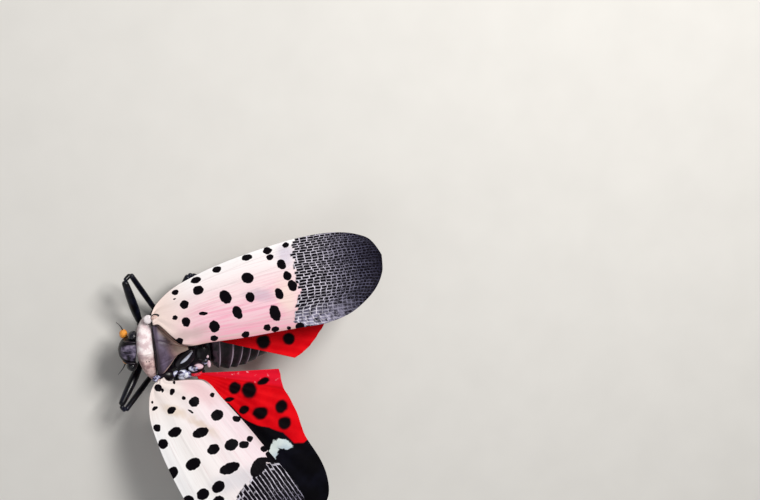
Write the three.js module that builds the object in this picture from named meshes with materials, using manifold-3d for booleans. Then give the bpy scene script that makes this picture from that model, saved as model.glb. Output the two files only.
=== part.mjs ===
// A spotted lanternfly at life size, standing still with its left wings spread and its right wings half closed.
// Millimetres. +X runs from the head to the tail, +Y to the insect's right side and +Z up from the floor.
// Everything is placed from the front of the head on the body's own centre plane. The last lines then shift
// the whole insect so that the middle of its outline lies at the origin, with the floor at z = 0.

import * as THREE from 'three';
import Module from 'manifold-3d';

const wasm = await Module();
wasm.setup();

// Driving dimensions

const GAP = 0.3; // left between pieces that touch
const RIGHT = 1;
const LEFT = -1;

// The head is turned a little to the insect's right about its neck, with the eyes and antennae.
const HEAD = { front: 0.1, back: 1.5, halfWidth: 1.3, top: 6.0, chin: 3.0, neck: 1.9, turn: 9 };
const EYE = { x: 1.42, y: 1.42, z: 5.1, radii: [0.46, 0.46, 0.62] };
const ANTENNA = { radii: [0.38, 0.44, 0.4], bristle: 1.9, bristleTip: 0.07 };
const ANTENNA_PLACE = { [RIGHT]: [0.56, 1.36, 4.0], [LEFT]: [0.95, 1.2, 3.7] }; // the left one is tucked in
const ROSTRUM = [[1.15, 0, 2.55], [2.4, 0, 1.7], [6.4, 0, 1.35]];
const ROSTRUM_RADII = [0.34, 0.27, 0.2];

const PRONOTUM = {
  front: 1.9, back: 3.35, halfWidth: 3.2, top: 6.65, droop: 1.5, keel: 2.5, lobe: 4.5,
  frontCurve: 0.7, backCurve: 0.25,
};
const THORAX = { front: 3.65, back: 8.3, halfWidth: 2.8, top: 6.3, bottom: 2.2 };
const WING_ROOTS = [
  { at: [4.3, 2.75, 5.85], radii: [0.75, 0.85, 0.75] },
  { at: [7.0, 2.55, 5.0], radii: [0.9, 0.8, 0.6] },
];
const MESONOTUM = {
  front: 3.65, apex: 6.5, halfWidth: 2.45, crown: 7.05, edge: 6.25, slope: 0.35, bow: 0.25, thickness: 0.6,
};
const TEGULA = { x: 3.42, y: 3.05, z: 6.0, radii: [0.42, 0.36, 0.34] };
const ABDOMEN = { halfWidth: 3.3, middle: 3.8, halfHeight: 1.85, sag: 0.55, bend: 0.07 };
const SEGMENT_EDGES = [8.75, 9.6, 10.9, 11.8, 12.6, 13.5, 14.5, 15.5, 16.4, 17.2]; // on the back of the abdomen

// A forewing is placed by its hinge, then by its sweep from the tail line, its rise and its roof-like twist.
const FOREWING = { length: 22, hinge: [3.8, 2.9, 6.4], halfThickness: 0.25, camber: 0.45, ridge: 0.16 };
const FOREWING_POSE = {
  right: { side: RIGHT, sweep: 8.1, rise: 3.7, twist: -42.8 },
  left: { side: LEFT, sweep: 62.1, rise: 10, twist: 5.6 },
};
// Outline of a forewing in lengths of the wing: distance from the hinge, then height over the middle line.
const COSTAL_EDGE = [[0.03, 0.08], [0.1, 0.135], [0.2, 0.165], [0.3, 0.188], [0.45, 0.21], [0.6, 0.224],
  [0.7, 0.224], [0.8, 0.213], [0.88, 0.19], [0.94, 0.157], [0.975, 0.122], [1.0, 0.055]];
const INNER_EDGE = [[0.03, -0.03], [0.06, -0.1], [0.1, -0.152], [0.2, -0.163], [0.35, -0.182], [0.5, -0.194],
  [0.6, -0.204], [0.7, -0.212], [0.8, -0.196], [0.88, -0.155], [0.94, -0.105], [0.98, -0.045], [1.0, 0.02]];
const MAIN_VEINS = [0.15, 0.32, 0.5, 0.68, 0.86]; // across the forewing, from the inner edge to the costal one
const VEIN_HALF_WIDTH = 0.022;
const FOREWING_ROWS = 26;

// A hindwing is a fan round its hinge. Angles are measured in plan from the tail line, outwards.
const HINDWING = { hinge: [7.0, 2.95, 5.1], halfThickness: 0.25, pleat: 0.09, inner: 0.045 };
const HINDWING_FOLDS = 18;
const HINDWING_ROWS = 12;
// Each outline gives the fan's fraction from the leading edge to the anal one, then the length there.
// The anal edge starts further back and closer in than the hinge, by anal root.
const HINDWING_POSE = {
  right: {
    side: RIGHT, leading: 8, anal: -19.5, riseLeading: 0.07, riseAnal: 0.12, arch: 0.06,
    analRoot: [1.2, -2.35, 0.95],
    outline: [[0, 15.6], [0.15, 16.3], [0.3, 14.5], [0.45, 12.9],
      [0.63, 11.7], [0.8, 10.55], [0.9, 9.7], [1, 8.65]],
  },
  left: {
    side: LEFT, leading: 70, anal: 5, riseLeading: 0.05, riseAnal: 0.0, arch: 0.0,
    analRoot: [0, 0, 0],
    outline: [[0, 17.4], [0.08, 18.6], [0.18, 19.0], [0.27, 18.5], [0.33, 17.6], [0.405, 15.4], [0.475, 12.8],
      [0.52, 11.9], [0.73, 9.3], [0.82, 8.5], [1, 7.95]],
  },
};

// Each leg: middle of its coxa, then knee, ankle and toe, each [x, distance from the centre plane, z].
const COXA_RADII = [0.48, 0.62, 0.38];
const TARSUS = { height: 0.5, heel: 0.26 };
const LEGS = {
  fore_right: { coxa: [2.6, 1.25, 1.78], knee: [1.5, 6.68, 4.4], ankle: [4.1, 2.7, 0.95], toe: [3.0, 1.2] },
  fore_left: { coxa: [2.6, 1.25, 1.78], knee: [-0.3, 5.3, 4.4], ankle: [3.4, 3.3, 0.95], toe: [2.6, 1.6] },
  mid_right: { coxa: [5.1, 1.25, 1.5], knee: [7.5, 6.3, 3.6], ankle: [9.9, 4.6, 0.95], toe: [11.4, 3.8] },
  mid_left: { coxa: [5.1, 1.25, 1.5], knee: [5.6, 5.9, 3.7], ankle: [8.4, 7.4, 0.95], toe: [10.0, 8.4] },
  hind_right: { coxa: [7.3, 1.25, 1.45], knee: [10.2, 5.2, 3.4], ankle: [16.4, 4.7, 0.95], toe: [18.1, 4.5] },
  hind_left: { coxa: [7.3, 1.25, 1.45], knee: [8.0, 6.6, 3.0], ankle: [14.2, 7.5, 0.95], toe: [15.7, 8.1] },
};
const KNEE = { open: 0.85, folded: 1.05 }; // how far a tibia starts from the knee, ahead of it or beside it
const FEMUR_START = 0.92; // from the middle of the coxa
const FEMUR_END = 0.35; // short of the knee
const FEMUR_ARCH = 0.12;
const FEMUR_RADII = [0.28, 0.42, 0.4, 0.3];
const TIBIA_RADII = { fore: [0.27, 0.3, 0.25], mid: [0.27, 0.3, 0.25], hind: [0.27, 0.34, 0.26] };

// Materials

const finish = (color, roughness) => new THREE.MeshStandardMaterial({ color, roughness, metalness: 0 });
const MATERIALS = {
  head: finish(0x2b2630, 0.4),
  eye: finish(0x14141c, 0.15),
  antenna: finish(0xe0912e, 0.5),
  collar: finish(0xc9a99c, 0.6),
  shield: finish(0x5d4f58, 0.55),
  body: finish(0x1f1a20, 0.45),
  forewing: finish(0xe6cfc8, 0.55),
  hindwing: finish(0xc8141e, 0.5),
  leg: finish(0x1a1c28, 0.3),
};

// Shape helpers

const vector = (point) => new THREE.Vector3(...point);
const onSide = (side, [x, y, z]) => new THREE.Vector3(x, side * y, z);

// The value at x of a smooth curve through a few [x, value] points.
function smooth(points, x) {
  const last = points.length - 1;
  const at = Math.min(Math.max(x, points[0][0]), points[last][0]);
  let i = 0;
  while (i < last - 1 && at > points[i + 1][0]) i += 1;
  const slope = (k) => {
    const a = points[Math.max(k - 1, 0)];
    const b = points[Math.min(k + 1, last)];
    return (b[1] - a[1]) / (b[0] - a[0]);
  };
  const [x0, y0] = points[i];
  const [x1, y1] = points[i + 1];
  const w = x1 - x0;
  const t = (at - x0) / w;
  const t2 = t * t;
  const t3 = t2 * t;
  return y0 * (2 * t3 - 3 * t2 + 1) + y1 * (3 * t2 - 2 * t3)
    + slope(i) * w * (t3 - 2 * t2 + t) + slope(i + 1) * w * (t3 - t2);
}

// A closed geometry from points and triangles, turned so that its faces point out.
function closed(points, triangles) {
  let volume = 0;
  for (const [a, b, c] of triangles) volume += points[a].dot(points[b].clone().cross(points[c])) / 6;
  const index = triangles.flatMap(([a, b, c]) => (volume > 0 ? [a, b, c] : [a, c, b]));
  const geometry = new THREE.BufferGeometry().setFromPoints(points);
  geometry.setIndex(index);
  return geometry;
}

// A body through rings of equally many points, closed by a fan at each end.
function loft(rings) {
  const sides = rings[0].length;
  const points = rings.flat();
  const triangles = [];
  for (let r = 0; r + 1 < rings.length; r += 1) {
    for (let s = 0; s < sides; s += 1) {
      const a = r * sides + s;
      const b = r * sides + (s + 1) % sides;
      triangles.push([a, b, b + sides], [a, b + sides, a + sides]);
    }
  }
  for (const [start, turned] of [[0, true], [(rings.length - 1) * sides, false]]) {
    const middle = new THREE.Vector3();
    for (let s = 0; s < sides; s += 1) middle.addScaledVector(points[start + s], 1 / sides);
    points.push(middle);
    const m = points.length - 1;
    for (let s = 0; s < sides; s += 1) {
      const a = start + s;
      const b = start + (s + 1) % sides;
      triangles.push(turned ? [m, b, a] : [m, a, b]);
    }
  }
  return closed(points, triangles);
}

// A plate between two faces of columns × rows points, both split into triangles alike.
function plate(upper, lower, columns, rows) {
  const points = [];
  for (const face of [upper, lower]) {
    for (let r = 0; r < rows; r += 1) {
      for (let c = 0; c < columns; c += 1) points.push(face(c, r));
    }
  }
  const under = columns * rows;
  const at = (c, r) => r * columns + c;
  const triangles = [];
  for (let r = 0; r + 1 < rows; r += 1) {
    for (let c = 0; c + 1 < columns; c += 1) {
      const [p, q, s, t] = [at(c, r), at(c + 1, r), at(c + 1, r + 1), at(c, r + 1)];
      triangles.push([p, q, s], [p, s, t]);
      triangles.push([under + p, under + s, under + q], [under + p, under + t, under + s]);
    }
  }
  const rim = [];
  for (let c = 0; c + 1 < columns; c += 1) rim.push(at(c, 0));
  for (let r = 0; r + 1 < rows; r += 1) rim.push(at(columns - 1, r));
  for (let c = columns - 1; c > 0; c -= 1) rim.push(at(c, rows - 1));
  for (let r = rows - 1; r > 0; r -= 1) rim.push(at(0, r));
  rim.forEach((a, i) => {
    const b = rim[(i + 1) % rim.length];
    triangles.push([a, under + a, under + b], [a, under + b, b]);
  });
  return closed(points, triangles);
}

// Points of a rounded section: power 2 is an ellipse and a higher power is squarer.
function section(sides, power, place) {
  return Array.from({ length: sides }, (_, s) => {
    const angle = (s + 0.5) * 2 * Math.PI / sides;
    const round = (v) => Math.sign(v) * Math.abs(v) ** (2 / power);
    return place(round(Math.cos(angle)), round(Math.sin(angle)));
  });
}

// A round limb along a few points, with a radius for each and with its ends rounded off.
function limb(path, radii, sides = 10) {
  const curve = new THREE.CatmullRomCurve3(path, false, 'centripetal');
  const steps = (path.length - 1) * 3;
  const rings = [];
  const stops = [0.0, 0.03, ...Array.from({ length: steps - 1 }, (_, i) => (i + 1) / steps), 0.97, 1.0];
  for (const t of stops) {
    const along = curve.getTangentAt(t);
    const across = new THREE.Vector3().crossVectors(along, new THREE.Vector3(0, 0, 1)).normalize();
    const up = new THREE.Vector3().crossVectors(across, along);
    const end = t === 0 || t === 1 ? 0.55 : 1;
    const radius = end * smooth(radii.map((r, i) => [i / (radii.length - 1), r]), t);
    const middle = curve.getPointAt(t);
    rings.push(section(sides, 2, (a, b) => middle.clone().addScaledVector(across, a * radius)
      .addScaledVector(up, b * radius)));
  }
  return loft(rings);
}

function ellipsoid(centre, radii, grow = 0, detail = 16) {
  const geometry = new THREE.SphereGeometry(1, detail, Math.round(detail * 0.7));
  geometry.scale(radii[0] + grow, radii[1] + grow, radii[2] + grow);
  geometry.translate(centre.x, centre.y, centre.z);
  return geometry;
}

// Joins and cuts

function toSolid(geometry) {
  const position = geometry.getAttribute('position');
  const index = geometry.getIndex();
  const seen = new Map();
  const vertices = [];
  const renumbered = [];
  for (let i = 0; i < position.count; i += 1) {
    const key = [position.getX(i), position.getY(i), position.getZ(i)].map((v) => v.toFixed(5)).join();
    if (!seen.has(key)) {
      seen.set(key, seen.size);
      vertices.push(position.getX(i), position.getY(i), position.getZ(i));
    }
    renumbered.push(seen.get(key));
  }
  const corners = [];
  for (let i = 0; i < index.count; i += 3) {
    const triangle = [0, 1, 2].map((k) => renumbered[index.getX(i + k)]);
    if (new Set(triangle).size === 3) corners.push(...triangle);
  }
  return new wasm.Manifold(new wasm.Mesh({
    numProp: 3, vertProperties: new Float32Array(vertices), triVerts: new Uint32Array(corners),
  }));
}

// The largest closed surface of a solid, as a geometry.
function toGeometry(solid) {
  const largest = solid.decompose().reduce((a, b) => (b.volume() > a.volume() ? b : a));
  const mesh = largest.getMesh();
  const geometry = new THREE.BufferGeometry();
  geometry.setAttribute('position', new THREE.BufferAttribute(new Float32Array(mesh.vertProperties), 3));
  geometry.setIndex([...mesh.triVerts]);
  return geometry;
}

const join = (...geometries) => toGeometry(geometries.map(toSolid).reduce((a, b) => a.add(b)));
const cut = (geometry, ...tools) => toGeometry(
  tools.map(toSolid).reduce((a, b) => a.subtract(b), toSolid(geometry)),
);

// Wings

// The directions of a wing: along it, across it towards its costal edge, and out of its upper face.
function wingAxes({ side, sweep, rise, twist }) {
  const [a, e, w] = [sweep, rise, twist].map(THREE.MathUtils.degToRad);
  const along = new THREE.Vector3(Math.cos(e) * Math.cos(a), side * Math.cos(e) * Math.sin(a), Math.sin(e));
  const level = new THREE.Vector3(-Math.sin(a), side * Math.cos(a), 0);
  const upright = new THREE.Vector3().crossVectors(along, level).multiplyScalar(side);
  const across = level.clone().multiplyScalar(Math.cos(w)).addScaledVector(upright, Math.sin(w));
  const out = upright.clone().multiplyScalar(Math.cos(w)).addScaledVector(level, -Math.sin(w));
  return { along, across, out };
}

// Columns across a forewing: one on each side of every vein, one on its crest, and both edges.
const veinColumns = MAIN_VEINS.flatMap((at) => [
  [at - VEIN_HALF_WIDTH, 0], [at, 1], [at + VEIN_HALF_WIDTH, 0],
]);
const FOREWING_COLUMNS = [[0, 0], ...veinColumns, [0.955, 0.6], [1, 0.6]];

function forewing(pose, grow = 0) {
  const { along, across, out } = wingAxes(pose);
  const hinge = onSide(pose.side, FOREWING.hinge);
  const { length } = FOREWING;
  const margin = grow / length;
  const start = COSTAL_EDGE[0][0];
  const end = COSTAL_EDGE[COSTAL_EDGE.length - 1][0];
  const face = (sign) => (c, r) => {
    const [t, crest] = FOREWING_COLUMNS[c];
    const s = r / (FOREWING_ROWS - 1);
    const eased = 0.55 * s + 0.45 * (1 - (1 - s) ** 2);
    const u = start - margin + (end + 2 * margin - start) * eased;
    const inner = smooth(INNER_EDGE, u) - margin;
    const costal = smooth(COSTAL_EDGE, u) + margin;
    const v = inner + (costal - inner) * t;
    const bow = FOREWING.camber * 4 * t * (1 - t) * Math.min(1, u * 5, (costal - inner) * 4);
    const lift = sign > 0 ? FOREWING.ridge * crest * Math.min(1, (end - u) * 8 + 0.2) : 0;
    return hinge.clone().addScaledVector(along, u * length).addScaledVector(across, v * length)
      .addScaledVector(out, bow + sign * (FOREWING.halfThickness + grow) + lift);
  };
  return plate(face(1), face(-1), FOREWING_COLUMNS.length, FOREWING_ROWS);
}

function hindwing(pose, grow = 0) {
  const hinge = onSide(pose.side, HINDWING.hinge);
  const face = (sign) => (c, r) => {
    const fan = c / HINDWING_FOLDS;
    const angle = THREE.MathUtils.degToRad(pose.leading + (pose.anal - pose.leading) * fan);
    const slant = pose.riseLeading + (pose.riseAnal - pose.riseLeading) * fan;
    const rise = slant + pose.arch * Math.sin(Math.PI * fan);
    const share = HINDWING.inner + (1 - HINDWING.inner) * r / (HINDWING_ROWS - 1);
    const reach = smooth(pose.outline, fan) * share + grow * (r === 0 ? -1 : 1);
    const sideways = c === 0 ? grow : c === HINDWING_FOLDS ? -grow : 0;
    const [rootX, rootY, rootZ] = pose.analRoot.map((v) => v * fan * fan);
    const pleat = HINDWING.pleat * Math.min(1, reach / 8) * (c % 2 === 0 ? 1 : -1);
    return new THREE.Vector3(
      hinge.x + rootX + reach * Math.cos(angle) - sideways * Math.sin(angle),
      hinge.y + pose.side * (rootY + reach * Math.sin(angle) + sideways * Math.cos(angle)),
      hinge.z + rootZ + reach * rise + pleat + sign * (HINDWING.halfThickness + grow),
    );
  };
  return plate(face(1), face(-1), HINDWING_FOLDS + 1, HINDWING_ROWS);
}

// Head

// Turns a geometry with the head, about the neck.
function withHead(geometry) {
  geometry.translate(-HEAD.neck, 0, 0);
  geometry.rotateZ(THREE.MathUtils.degToRad(-HEAD.turn));
  return geometry.translate(HEAD.neck, 0, 0);
}

function headShell() {
  const { front, back, halfWidth, top, chin } = HEAD;
  const stops = [[0, 0.3, 0.42], [0.12, 0.55, 0.68], [0.35, 0.85, 0.9],
    [0.7, 1, 1], [0.93, 1, 0.98], [1, 0.86, 0.88]];
  const middle = (top + chin) / 2;
  const rings = stops.map(([s, wide, tall]) => section(20, 2.3, (a, b) => new THREE.Vector3(
    front + (back - front) * s, a * halfWidth * wide, middle + b * (top - chin) / 2 * tall,
  )));
  return withHead(loft(rings));
}

function eye(side, grow = 0) {
  return withHead(ellipsoid(onSide(side, [EYE.x, EYE.y, EYE.z]), EYE.radii, grow, 18));
}

function knob(side, grow = 0) {
  return ellipsoid(onSide(side, ANTENNA_PLACE[side]), ANTENNA.radii, grow, 14);
}

function antenna(side) {
  const { bristle, bristleTip } = ANTENNA;
  const [x, y, z] = ANTENNA_PLACE[side];
  const bristleEnd = onSide(side, [x - bristle * 0.45, y + bristle * 0.75, z + bristle * 0.35]);
  const hair = limb([onSide(side, [x, y, z]), onSide(side, [x - 0.3, y + 0.6, z + 0.2]), bristleEnd],
    [0.26, 0.22, bristleTip], 6);
  return withHead(join(knob(side), hair));
}

// Thorax

function pronotum() {
  const { front, back, halfWidth, top, droop, keel, lobe, frontCurve, backCurve } = PRONOTUM;
  const stations = [-1, -0.94, -0.82, -0.64, -0.42, -0.2, 0, 0.2, 0.42, 0.64, 0.82, 0.94, 1];
  const rings = stations.map((s) => {
    const out = s * s;
    const rim = Math.sqrt(Math.max(0.12, 1 - Math.abs(s) ** 6));
    const highest = top - droop * out;
    const lowest = keel + (lobe - keel) * smooth([[0, 0], [0.4, 0], [0.75, 0.75], [1, 1]], Math.abs(s));
    const x0 = front + frontCurve * out;
    const x1 = back - backCurve * out;
    return section(16, 2.8, (a, b) => new THREE.Vector3(
      (x0 + x1) / 2 + a * (x1 - x0) / 2 * rim,
      s * halfWidth,
      (highest + lowest) / 2 + b * (highest - lowest) / 2 * rim,
    ));
  });
  return cut(loft(rings), eye(RIGHT, GAP), eye(LEFT, GAP));
}

function mesonotum(grow = 0) {
  const { front, apex, halfWidth, crown, edge, slope, bow, thickness } = MESONOTUM;
  const outline = [[0, 1], [0.1, 0.91], [0.22, 0.78], [0.365, 0.56],
    [0.565, 0.3], [0.75, 0.17], [0.9, 0.12], [1, 0.1]];
  const columns = 13;
  const rows = 10;
  const face = (sign) => (c, r) => {
    const s = r / (rows - 1);
    const across = 2 * c / (columns - 1) - 1;
    const half = halfWidth * smooth(outline, s) + grow * 1.9;
    const x = front - grow + (apex - front + 2 * grow) * s - bow * across * across * (1 - s);
    const y = across * half;
    const dome = crown - (crown - edge) * (y / halfWidth) ** 2 - slope * (x - front) / (apex - front);
    const z = sign > 0 ? dome + grow * 3 : dome - thickness - grow;
    return new THREE.Vector3(x, y, z);
  };
  return plate(face(1), face(-1), columns, rows);
}

function tegula(side, grow = 0) {
  return ellipsoid(onSide(side, [TEGULA.x, TEGULA.y, TEGULA.z]), TEGULA.radii, grow, 12);
}

function thorax() {
  const { front, back, halfWidth, top, bottom } = THORAX;
  const stops = [[0, 0.8, 0.86], [0.05, 0.92, 0.95], [0.3, 1, 1],
    [0.65, 0.99, 0.98], [0.9, 0.93, 0.9], [1, 0.84, 0.82]];
  const rings = stops.map(([s, wide, tall]) => section(24, 2.6, (a, b) => new THREE.Vector3(
    front + (back - front) * s, a * halfWidth * wide, (top + bottom) / 2 + b * (top - bottom) / 2 * tall,
  )));
  const lumps = [RIGHT, LEFT].flatMap((side) => WING_ROOTS.map(({ at, radii }) => (
    ellipsoid(onSide(side, at), radii, 0, 14))));
  const tools = [mesonotum(GAP), tegula(RIGHT, GAP), tegula(LEFT, GAP)];
  for (const which of ['right', 'left']) {
    tools.push(forewing(FOREWING_POSE[which], GAP * 1.25), hindwing(HINDWING_POSE[which], GAP * 2.4));
  }
  return cut(join(loft(rings), ...lumps), ...tools);
}

// Abdomen: each segment is a little wider at its back edge than where the next one starts.
function abdomen() {
  const { halfWidth, middle, halfHeight, sag, bend } = ABDOMEN;
  const front = SEGMENT_EDGES[0];
  const back = SEGMENT_EDGES[SEGMENT_EDGES.length - 1];
  const shape = [[0, 0.8], [0.1, 0.93], [0.28, 1], [0.45, 0.95],
    [0.62, 0.78], [0.8, 0.53], [0.94, 0.32], [1, 0.2]];
  const rings = [];
  for (let i = 0; i + 1 < SEGMENT_EDGES.length; i += 1) {
    for (const [part, swell] of [[0, 0.955], [0.4, 0.985], [0.96, 1.0]]) {
      const x = SEGMENT_EDGES[i] + (SEGMENT_EDGES[i + 1] - SEGMENT_EDGES[i]) * part;
      const s = (x - front) / (back - front);
      const size = smooth(shape, s) * swell;
      rings.push(section(20, 2.1, (a, b) => {
        const y = a * halfWidth * size;
        const bent = x - bend * y * y * Math.min(1, 3 * s);
        return new THREE.Vector3(bent, y, middle - sag * s * s + b * halfHeight * size);
      }));
    }
  }
  return loft(rings);
}

// Legs

function shortened(from, to, startGap, endGap) {
  const along = to.clone().sub(from).normalize();
  return [from.clone().addScaledVector(along, startGap), to.clone().addScaledVector(along, -endGap)];
}

function femur(side, { coxa, knee }) {
  const [from, to] = shortened(onSide(side, coxa), onSide(side, knee), FEMUR_START, FEMUR_END);
  const arch = from.clone().lerp(to, 0.5).add(new THREE.Vector3(0, 0, FEMUR_ARCH));
  return limb([from, arch, to], FEMUR_RADII, 10);
}

// A tibia starts beyond the end of its femur, or beside it where the knee is folded.
function tibia(side, { coxa, knee, ankle }, pair) {
  const bend = onSide(side, knee);
  const to = onSide(side, ankle);
  const back = onSide(side, coxa).sub(bend).normalize();
  const along = to.clone().sub(bend).normalize();
  const fold = Math.max(0, along.dot(back));
  const beside = along.clone().addScaledVector(back, -along.dot(back)).normalize();
  const from = bend.addScaledVector(beside, KNEE.folded * fold * fold)
    .addScaledVector(along, KNEE.open * (1 - fold));
  return limb([from, from.clone().lerp(to, 0.5), to], TIBIA_RADII[pair], 10);
}

// A foot: flat sole on the floor, arched top, widest at the toe.
function tarsus(side, { ankle, toe }) {
  const heel = onSide(side, [ankle[0], ankle[1], 0]);
  const tip = onSide(side, [toe[0], toe[1], 0]);
  const along = tip.clone().sub(heel).normalize();
  const across = new THREE.Vector3(-along.y, along.x, 0);
  const stops = [[-0.16, 0.5, 0.7], [-0.1, 1, 1], [0.3, 0.86, 0.82], [0.34, 1, 0.95], [0.62, 0.86, 0.8],
    [0.66, 1.05, 0.92], [0.9, 1.35, 0.85], [1.0, 0.9, 0.55]];
  const flat = 0.15; // the share of a round section's height that the floor cuts off below its middle
  const rings = stops.map(([s, wide, tall]) => section(12, 2, (a, b) => {
    const height = Math.max(0, b + flat) * TARSUS.height / (1 + flat) * tall;
    return heel.clone().lerp(tip, s).addScaledVector(across, a * TARSUS.heel * wide).setZ(height);
  }));
  return loft(rings);
}

// The insect

const group = new THREE.Group();
const insect = new THREE.Group();
group.add(insect);

function add(name, geometry, material) {
  const mesh = new THREE.Mesh(geometry, material);
  mesh.name = name;
  insect.add(mesh);
}

const headTools = [RIGHT, LEFT].flatMap((side) => [eye(side, GAP), withHead(knob(side, GAP))]);
add('head', cut(headShell(), ...headTools), MATERIALS.head);
add('rostrum', limb(ROSTRUM.map(vector), ROSTRUM_RADII, 8), MATERIALS.body);
add('pronotum', pronotum(), MATERIALS.collar);
add('mesonotum', cut(mesonotum(), tegula(RIGHT, GAP), tegula(LEFT, GAP)), MATERIALS.shield);
add('thorax', thorax(), MATERIALS.body);
add('abdomen', abdomen(), MATERIALS.body);

for (const [which, side] of [['right', RIGHT], ['left', LEFT]]) {
  add(`eye_${which}`, eye(side), MATERIALS.eye);
  add(`antenna_${which}`, antenna(side), MATERIALS.antenna);
  add(`tegula_${which}`, cut(tegula(side), forewing(FOREWING_POSE[which], GAP)), MATERIALS.collar);
  add(`forewing_${which}`, forewing(FOREWING_POSE[which]), MATERIALS.forewing);
  add(`hindwing_${which}`, hindwing(HINDWING_POSE[which]), MATERIALS.hindwing);
}

for (const [name, leg] of Object.entries(LEGS)) {
  const [pair, which] = name.split('_');
  const side = which === 'right' ? RIGHT : LEFT;
  add(`coxa_${name}`, ellipsoid(onSide(side, leg.coxa), COXA_RADII, 0, 12), MATERIALS.leg);
  add(`femur_${name}`, femur(side, leg), MATERIALS.leg);
  add(`tibia_${name}`, tibia(side, leg, pair), MATERIALS.leg);
  add(`tarsus_${name}`, tarsus(side, leg), MATERIALS.leg);
}

const outline = new THREE.Box3().setFromObject(insect);
insect.position.set(-(outline.min.x + outline.max.x) / 2, -(outline.min.y + outline.max.y) / 2, -outline.min.z);

export default group;
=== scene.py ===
from math import acos, atan2, copysign, cos, exp, pi, radians, sin, sqrt

import bmesh
import bpy
from mathutils import Matrix, Vector


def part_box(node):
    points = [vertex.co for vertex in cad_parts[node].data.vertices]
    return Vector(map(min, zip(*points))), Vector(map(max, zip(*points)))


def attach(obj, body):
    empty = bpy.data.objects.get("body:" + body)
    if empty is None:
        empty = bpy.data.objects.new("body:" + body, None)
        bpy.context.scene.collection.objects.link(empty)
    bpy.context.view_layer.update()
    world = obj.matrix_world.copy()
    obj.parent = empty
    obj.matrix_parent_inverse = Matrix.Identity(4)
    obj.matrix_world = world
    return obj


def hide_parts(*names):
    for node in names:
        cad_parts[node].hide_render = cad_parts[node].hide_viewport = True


# A spotted lanternfly at life size: fine cuticle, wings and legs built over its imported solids.
# Shapes are written in millimetres from the front of the head, with +X to the tail, +Y to the insect's
# right and the floor at z = 0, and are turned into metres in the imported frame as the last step.

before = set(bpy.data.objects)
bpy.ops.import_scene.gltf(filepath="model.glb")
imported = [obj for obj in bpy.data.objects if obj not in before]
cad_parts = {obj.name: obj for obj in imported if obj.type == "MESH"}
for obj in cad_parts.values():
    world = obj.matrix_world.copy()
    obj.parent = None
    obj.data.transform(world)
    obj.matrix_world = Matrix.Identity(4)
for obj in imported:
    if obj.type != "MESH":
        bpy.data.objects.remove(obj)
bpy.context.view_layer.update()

MM = 0.001
RIGHT = 1
LEFT = -1
SIDES = {"right": RIGHT, "left": LEFT}
UP = Vector((0, 0, 1))
TAILWARDS = Vector((1, 0, 0))

# The body, wings and legs, with the same values as the solids

# The head is turned a little to the insect's right about its neck, with the eyes and antennae.
# The power of a section says how square it is: 2 is round.
HEAD = {
    "front": 0.1, "back": 1.5, "half_width": 1.3, "top": 6.0, "chin": 3.0, "power": 2.4, "neck": 1.9,
    "turn": -9,
}
EYE = {"place": (1.42, 1.42, 5.1), "radii": (0.5, 0.5, 0.62)}
ANTENNA = {"radii": (0.38, 0.44, 0.4), "bristle": 1.9}
ANTENNA_PLACE = {RIGHT: (0.56, 1.36, 4.0), LEFT: (0.95, 1.2, 3.7)}
ROSTRUM = [(1.15, 0, 2.55), (2.4, 0, 1.7), (6.4, 0, 1.35)]
ROSTRUM_RADII = (0.34, 0.27, 0.2)
PRONOTUM = {
    "front": 1.74, "back": 3.48, "half_width": 3.2, "top": 6.65, "droop": 1.5, "keel": 2.5, "lobe": 4.5,
    "front_curve": 1.0, "back_curve": 0.04, "lean": 0.05, "power": 3.4,
}
THORAX = {"front": 3.65, "back": 8.3, "half_width": 2.8, "top": 6.3, "sunk": 0.4, "bottom": 2.2, "power": 2.6}
MESONOTUM = {
    "front": 3.54, "apex": 6.5, "half_width": 2.5, "crown": 7.05, "edge": 6.25, "slope": 0.35, "bow": 0.06,
    "wall": 0.5,
}
# Half width of the shield from its front to its apex, as shares. The right wing hides its right edge.
SHIELD_EDGES = {
    RIGHT: [(0, 1), (0.1, 1.06), (0.2, 1.02), (0.33, 0.84), (0.5, 0.56), (0.62, 0.38), (0.76, 0.22),
            (0.9, 0.13), (1, 0.06)],
    LEFT: [(0, 0.88), (0.1, 0.9), (0.2, 0.84), (0.27, 0.75), (0.41, 0.54), (0.59, 0.27), (0.76, 0.14),
           (0.9, 0.1), (1, 0.06)],
}
# Each tegula: its plates, pale then tan, with the place and the radii of each.
TEGULAE = {
    RIGHT: [((3.18, 3.1, 5.95), (0.42, 0.42, 0.22)), ((3.83, 3.2, 6.14), (0.38, 0.32, 0.2))],
    LEFT: [((3.3, 2.66, 6.04), (0.4, 0.34, 0.22)), ((3.6, 3.0, 6.2), (0.34, 0.36, 0.2))],
}
ABDOMEN = {"half_width": 3.3, "middle": 3.8, "half_height": 1.85, "sag": 0.55, "bend": 0.07, "power": 2.1}
SEGMENT_EDGES = (8.6, 9.6, 10.9, 11.8, 12.6, 13.5, 14.5, 15.5, 16.4, 17.2)  # on the back of the abdomen

# Camber, veins, edge and wall are in millimetres, and the root and the rounded tip in wing lengths.
FOREWING = {
    "length": 22, "hinge": (3.8, 2.9, 6.4), "camber": 0.45, "vein": 0.022, "edge": 0.05, "wall": 0.07,
    "root": -0.012, "tip": 0.015, "cells": (150, 180),
}
FOREWING_POSE = {
    "right": {"sweep": 8.1, "rise": 3.7, "twist": -42.8},
    "left": {"sweep": 62.1, "rise": 10, "twist": 5.6},
}
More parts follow.
